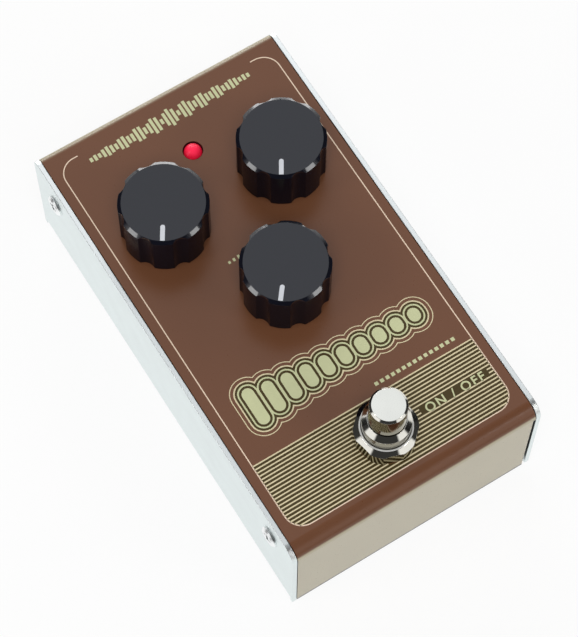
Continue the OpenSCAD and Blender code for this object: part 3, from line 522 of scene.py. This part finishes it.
def printDashes(name, rows, finish):  # rows of middle x, middle y, length, width in mm on the cover
    base, thick = inkLayer["line"]
    seed = bpy.data.meshes.new(name + "Points")
    seed.from_pydata([(x, y, 0) for x, y, length, width in rows], [], [])
    span = seed.attributes.new("dashSize", "FLOAT_VECTOR", "POINT")
    span.data.foreach_set("vector", [c for x, y, length, width in rows for c in (length, width, 1.0)])
    mesh = grow(name, dashes, seed, {"Ink Thickness": thick, "Ink": ink[finish]})
    onCover(mesh, base, thick)
    return settle(name, mesh, ink[finish])


# Frame line round the cover, open at the back, in mm from the middle of the case
frameLine = {"half": 31.1, "back": 56.1, "front": -55.7, "corner": 4.6, "stubEnd": 25.2, "width": 0.28}


def makeFrameLine(p):
    half, corner = p["half"], p["corner"]
    left = [(-p["stubEnd"], p["back"])]
    left += arc(corner - half, p["back"] - corner, corner, 90, 180)
    left += arc(corner - half, p["front"] + corner, corner, 180, 270)
    path = left + [(-x, y) for x, y in reversed(left)]
    inkSheet("frameLine", [ribbonLoop(path, p["width"])], "line", "frameInk")


makeFrameLine(frameLine)

# Stripes across the front, with room for the switch's washer and for the words beside it
stripes = {"count": 20, "first": -36.65, "pitch": 0.955, "width": 0.34,
           "washerRoom": 0.12, "washerSides": 48, "wordsRows": (9, 10), "wordsFrom": 10.2, "wordsTo": 29.6}
washerLow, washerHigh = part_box("footswitch_washer")
switchY = ((washerLow.y + washerHigh.y) / 2 - caseY) / mm
washerR = (washerHigh.x - washerLow.x) / 2 / mm + stripes["washerRoom"]


def cornerReach(y):  # how far the frame line reaches to the side at that y
    rise = y - frameLine["front"]
    corner = frameLine["corner"]
    if rise >= corner:
        return frameLine["half"]
    return frameLine["half"] - corner + math.sqrt(corner ** 2 - (corner - rise) ** 2)


def makeStripes(p):
    rows = []
    for i in range(p["count"]):
        y = p["first"] - i * p["pitch"]
        reach = cornerReach(y)
        gaps = []
        if abs(y - switchY) < washerR:
            room = math.sqrt(washerR ** 2 - (y - switchY) ** 2)
            gaps.append((-room, room))
        if i in p["wordsRows"]:
            gaps.append((p["wordsFrom"], p["wordsTo"]))
        starts = [-reach] + [end for start, end in gaps]
        ends = [start for start, end in gaps] + [reach]
        rows += [((a + b) / 2, y, b - a, p["width"]) for a, b in zip(starts, ends)]
    printDashes("stripeLines", rows, "creamInk")
    half, corner, front = frameLine["half"], frameLine["corner"], frameLine["front"]
    outline = [(half, p["first"]), (-half, p["first"])]
    outline += arc(corner - half, front + corner, corner, 180, 270)
    outline += arc(half - corner, front + corner, corner, 270, 360)
    sides = p["washerSides"]
    hole = arc(0, switchY, washerR, 360, 360 / sides, sides - 1)
    inkSheet("stripeGround", [outline, hole], "ground", "oliveInk")


makeStripes(stripes)

# Panel of fading pulses between the lower knob and the stripes
pulses = {"count": 10, "first": -22.4, "pitch": 5.0, "y": -24.0, "radius": 1.55, "tall": 3.6, "fade": 0.76,
          "steps": 540,  # along the outline of all the bars
          "ground": 1.95, "inner": (0.62, 1.02), "outer": (1.60, 1.95), "hairline": (2.72, 2.95)}


def makePulses(p):
    bars = [(p["first"] + i * p["pitch"], p["tall"] * p["fade"] ** i) for i in range(p["count"])]

    def pill(x, tall, grown):
        radius = p["radius"] + grown
        return arc(x, p["y"] + tall, radius, 0, 180) + arc(x, p["y"] - tall, radius, 180, 360)

    def around(grown):  # outline of all the bars, grown and merged
        radius = p["radius"] + grown
        start, end = bars[0][0] - radius, bars[-1][0] + radius
        crest = []
        for i in range(p["steps"] + 1):
            x = start + (end - start) * i / p["steps"]
            tops = [tall + math.sqrt(max(radius ** 2 - (x - bx) ** 2, 0))
                    for bx, tall in bars if abs(x - bx) <= radius + tiny]
            crest.append((x, max(tops)))
        upper = [(x, p["y"] + top) for x, top in crest]
        lower = [(x, p["y"] - top) for x, top in reversed(crest)]
        return upper + lower

    inkSheet("pulseBars", [pill(x, tall, 0) for x, tall in bars], "line", "paleInk")
    inkSheet("pulseGround", [around(p["ground"])], "ground", "oliveInk")
    near, far = p["inner"]
    inkSheet("pulseInner", [around(far)] + [pill(x, tall, near) for x, tall in bars], "line", "paleInk")
    near, far = p["outer"]
    inkSheet("pulseOuter", [around(far), around(near)], "line", "creamInk")
    near, far = p["hairline"]
    inkSheet("pulseHairline", [around(far), around(near)], "line", "creamInk")


makePulses(pulses)

# Bars like a drawn sound wave at the back, in the frame's opening
waveBars = {"count": 39, "pitch": 1.2, "width": 0.80, "y": 53.3, "tall": 5.2, "short": 1.2, "ripple": 5,
            "taper": 0.6}


def makeWaveBars(p):
    rows = []
    middle = (p["count"] - 1) / 2
    for i in range(p["count"]):
        out = (i - middle) / middle
        swing = abs(math.cos(p["ripple"] * math.pi * out)) * (1 - abs(out)) ** p["taper"]
        tall = p["short"] + swing * (p["tall"] - p["short"])
        rows.append(((i - middle) * p["pitch"], p["y"], p["width"], tall))
    printDashes("waveBars", rows, "paleInk")


makeWaveBars(waveBars)

# Rising bars behind each knob, and a row of dashes under the panel
knobRamps = {"offset": 12.4, "pitch": 1.36, "width": 0.62, "low": 0.7, "high": 2.7,
             "mix_knob": 5, "time_knob": 5, "repeats_knob": 13}
caption = {"from": 5.2, "to": 27.0, "y": -34.3, "count": 15, "length": 0.95, "width": 0.95}


def makeKnobRamps(p):
    rows = []
    for knob in ("mix_knob", "time_knob", "repeats_knob"):
        low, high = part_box(knob)
        middleX, middleY = (low.x + high.x) / 2 / mm, ((low.y + high.y) / 2 - caseY) / mm
        count = p[knob]
        for i in range(count):
            tall = p["low"] + (p["high"] - p["low"]) * i / (count - 1)
            x = middleX + (i - (count - 1) / 2) * p["pitch"]
            rows.append((x, middleY + p["offset"] + tall / 2, p["width"], tall))
    printDashes("knobRamps", rows, "paleInk")


def makeCaption(p):
    pitch = (p["to"] - p["from"]) / (p["count"] - 1)
    rows = [(p["from"] + i * pitch, p["y"], p["length"], p["width"]) for i in range(p["count"])]
    printDashes("captionDashes", rows, "paleInk")


makeKnobRamps(knobRamps)
makeCaption(caption)

# Words beside the foot switch
switchWords = {"text": "ON / OFF", "size": 3.3, "left": 11.6, "y": -47.1, "spacing": 1.25, "bold": 0.06}


def makeSwitchWords(p):
    base, thick = inkLayer["line"]
    words = bpy.data.curves.new("switchWords", "FONT")
    words.body = p["text"]
    words.size = p["size"]
    words.space_character = p["spacing"]
    words.offset = p["bold"]
    words.extrude = thick / 2
    holder = bpy.data.objects.new("switchWordsText", words)
    scene.collection.objects.link(holder)
    mesh = plainMesh(holder)
    bpy.data.objects.remove(holder)
    mesh.transform(Matrix.Translation((p["left"], p["y"], 0)))
    onCover(mesh, base, thick)
    settle("switchWords", mesh, ink["paleInk"])


makeSwitchWords(switchWords)
print("print: frame line, stripes, pulses, bars and words")


def sweptTree(name, sizes, makePath, caps):  # a round wire along a path, moved to its place
    tree, wire, size = growTree(name, {**sizes, "Facets": "Int", "Radius": "Float", "Wire": "Float",
                                       "Place": "Vector", "Metal": "Material"})
    section = wire.node("GeometryNodeCurvePrimitiveCircle", {}, {"Resolution": size["Facets"],
                                                                 "Radius": size["Wire"]})
    shape = wire.node("GeometryNodeCurveToMesh", {}, {"Curve": makePath(wire, size),
                                                      "Profile Curve": section, "Fill Caps": caps})
    shape = wire.node("GeometryNodeSetShadeSmooth", {}, {"Geometry": shape})
    shape = wire.node("GeometryNodeTransform", {}, {"Geometry": shape, "Translation": size["Place"]})
    closeTree(tree, wire, shape, size["Metal"])
    return tree


# Bright lip round the top of the foot switch's dress nut
nutLip = {"inner": 0.30 * mm, "bead": 0.24 * mm, "sink": 0.06 * mm, "around": 96, "facets": 12}


def lipPath(wire, size):
    return wire.node("GeometryNodeCurvePrimitiveCircle", {}, {"Resolution": size["Around"],
                                                              "Radius": size["Radius"]})


def makeNutLip(p):
    low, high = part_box("footswitch_barrel")
    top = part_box("footswitch_nut")[1].z
    tree = sweptTree("roundLip", {"Around": "Int"}, lipPath, False)
    mesh = grow("nutLip", tree, bpy.data.meshes.new("lipSeed"), {
        "Around": p["around"], "Facets": p["facets"], "Radius": (high.x - low.x) / 2 + p["inner"],
        "Wire": p["bead"], "Metal": finishes["nut_lip"],
        "Place": ((low.x + high.x) / 2, (low.y + high.y) / 2, top - p["sink"])})
    settle("nutLip", mesh, finishes["nut_lip"])


makeNutLip(nutLip)

# Return spring in the switch's well, in place of the CAD spring
returnSpring = {"turns": 5.0, "wire": 0.86 * mm, "perTurn": 40, "facets": 12}


def coilPath(wire, size):
    return wire.node("GeometryNodeCurveSpiral", {}, {
        "Resolution": size["Per Turn"], "Rotations": size["Turns"], "Start Radius": size["Radius"],
        "End Radius": size["Radius"], "Height": size["Rise"], "Reverse": True})


def makeReturnSpring(p):
    low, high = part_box("footswitch_spring")
    wireR = p["wire"] / 2
    tall = high.z - low.z
    x, y = (low.x + high.x) / 2, (low.y + high.y) / 2
    tree = sweptTree("coil", {"Per Turn": "Int", "Turns": "Float", "Rise": "Float"}, coilPath, True)
    mesh = grow("returnSpring", tree, bpy.data.meshes.new("coilSeed"), {
        "Per Turn": p["perTurn"], "Turns": p["turns"], "Rise": tall - p["wire"], "Facets": p["facets"],
        "Radius": (high.x - low.x) / 2 - wireR, "Wire": wireR, "Metal": finishes["spring_steel"],
        "Place": (x, y, low.z + wireR)})
    spring = settle("returnSpring", mesh, finishes["spring_steel"])
    travel = next(joint["range_m"][1] for joint in frame["joints"] if joint["name"] == "foot_press")
    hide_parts("footswitch_spring")
    1 - travel / tall
    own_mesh(spring)


makeReturnSpring(returnSpring)
print("foot switch: lip of the nut, return spring")

# Camera where the photograph was taken from, in mm in the part's frame
view = {"at": (-126.19, -202.22, 577.39), "look": (0.465, -3.829, 19.0), "roll": 0.684, "lens": 136.9,
        "sensor": 36.0, "nearest": 10}


def makeCamera(p):
    camera = bpy.data.cameras.new("photoCamera")
    camera.lens = p["lens"]
    camera.sensor_width = p["sensor"]
    camera.sensor_fit = "AUTO"
    holder = bpy.data.objects.new("photoCamera", camera)
    scene.collection.objects.link(holder)
    at, look = Vector(p["at"]) * mm, Vector(p["look"]) * mm
    turn = (look - at).to_track_quat("-Z", "Y").to_matrix().to_4x4()
    holder.matrix_world = Matrix.Translation(at) @ turn @ Matrix.Rotation(math.radians(p["roll"]), 4, "Z")
    camera.clip_start = p["nearest"] * mm
    scene.camera = holder


makeCamera(view)

# Studio: a soft fill from the camera's side, a box at the back and one at each side, in a dim room
dome = {"light": 0.28, "dim": 0.04, "cool": (0.98, 1.02, 1.07, 1)}
cards = {  # white sheets that polish reflects: the way to each, its edge and heart in degrees from there
    "overhead": {"way": (0.346, 0.542, 0.766), "edge": 33, "heart": 25},
    "left": {"way": (-0.94, 0.04, 0.34), "edge": 26, "heart": 19},
    "right": {"way": (0.43, -0.83, 0.34), "edge": 26, "heart": 19},
    "back": {"way": (0.47, 0.86, 0.10), "edge": 48, "heart": 30},
}
lamps = {  # metres from the middle of the floor under the part
    "fillBox": {"at": (-0.25, -0.40, 1.16), "wide": 0.60, "high": 0.60, "watts": 7.8, "shows": False},
    "backBox": {"at": (0.22, 0.88, 0.40), "wide": 0.70, "high": 0.20, "watts": 2.8},
    "backStrip": {"at": (0.31, 0.49, 0.030), "wide": 0.56, "high": 0.05, "watts": 0.45},
    "leftBox": {"at": (-0.824, 0.138, 0.70), "wide": 0.27, "high": 0.22, "watts": 1.1},
    "rightBox": {"at": (0.472, -0.689, 0.70), "wide": 0.27, "high": 0.22, "watts": 1.1},
}
lampAim = (0, 0, 0.03)
floorSheet = {"half": 4.0, "colour": (0.92, 0.92, 0.915, 1), "far": (0.03, 0.03, 0.03, 1), "white": 0.86,
              "sweep": (0.26, 0.36),  # how far out the floor shines in what reflects it
              "cloudScale": 6, "cloudSpread": 0.02, "roughness": 0.7}


def rays(wire):
    return [wire.node("ShaderNodeLightPath", {}, {}, name)
            for name in ("Is Camera Ray", "Is Glossy Ray", "Is Transmission Ray")]


def makeDome(p):
    world = bpy.data.worlds.new("studio")
    scene.world = world
    world.use_nodes = True
    tree = world.node_tree
    wire = Wire(tree)
    way = wire.node("ShaderNodeTexCoord", {}, {}, "Generated")
    shine = p["dim"]
    sheens = {}
    for name, card in cards.items():
        toward = wire.node("ShaderNodeVectorMath", {"operation": "DOT_PRODUCT"},
                           {0: way, 1: Vector(card["way"]).normalized()}, "Value")
        edge, heart = math.cos(math.radians(card["edge"])), math.cos(math.radians(card["heart"]))
        sheens[name] = toward.step(edge, heart)
        shine = wire.maths("MAXIMUM", shine, sheens[name])
    camera, glossy, through = rays(wire)
    rest = 1 - camera - glossy - through
    feed(tree.nodes["Background"], {"Color": wire.mix(glossy * sheens["overhead"], white, p["cool"]),
                                    "Strength": camera + through + glossy * shine + rest * p["light"]})


def makeLamp(name, p):
    light = bpy.data.lights.new(name, "AREA")
    light.shape = "RECTANGLE"
    light.size, light.size_y = p["wide"], p["high"]
    light.energy = p["watts"]
    holder = bpy.data.objects.new(name, light)
    scene.collection.objects.link(holder)
    holder.visible_camera = False
    holder.visible_glossy = p.get("shows", True)
    holder.location = p["at"]
    holder.rotation_euler = (Vector(lampAim) - Vector(p["at"])).to_track_quat("-Z", "Y").to_euler()


def makeFloor(p):
    mesh = bpy.data.meshes.new("floor")
    half = p["half"]
    corners = [(-half, -half, 0), (half, -half, 0), (half, half, 0), (-half, half, 0)]
    mesh.from_pydata(corners, [], [(0, 1, 2, 3)])
    material, wire, place, shader = newFinish("paleFloor")
    camera, glossy, through = rays(wire)
    reach = wire.node("ShaderNodeVectorMath", {"operation": "LENGTH"}, {0: place}, "Value")
    far = reach.step(*p["sweep"])
    cloud = wire.noise(place, p["cloudScale"], detail=2)
    colour = mottled(wire, p["colour"], cloud, p["cloudSpread"])
    feed(shader, {"Base Color": wire.mix(glossy * far, colour, p["far"]),
                  "Roughness": p["roughness"], "Specular IOR Level": 0.0})
    matte = Wire(wire.tree, shader.outputs[0])
    glow = wire.node("ShaderNodeEmission", {}, {"Color": white, "Strength": 1.0})
    share = (camera + (glossy + through) * (1 - far)) * p["white"]
    sheetLook = wire.node("ShaderNodeMixShader", {}, {0: share, 1: matte, 2: glow})
    wire.tree.links.new(sheetLook.socket, wire.tree.nodes["Material Output"].inputs["Surface"])
    mesh.materials.append(material)
    sheet = bpy.data.objects.new("floor", mesh)
    scene.collection.objects.link(sheet)


makeDome(dome)
for lampName, lampValues in lamps.items():
    makeLamp(lampName, lampValues)
makeFloor(floorSheet)
scene.view_settings.view_transform = "Standard"
print("studio: dome,", len(lamps), "lamps, floor")
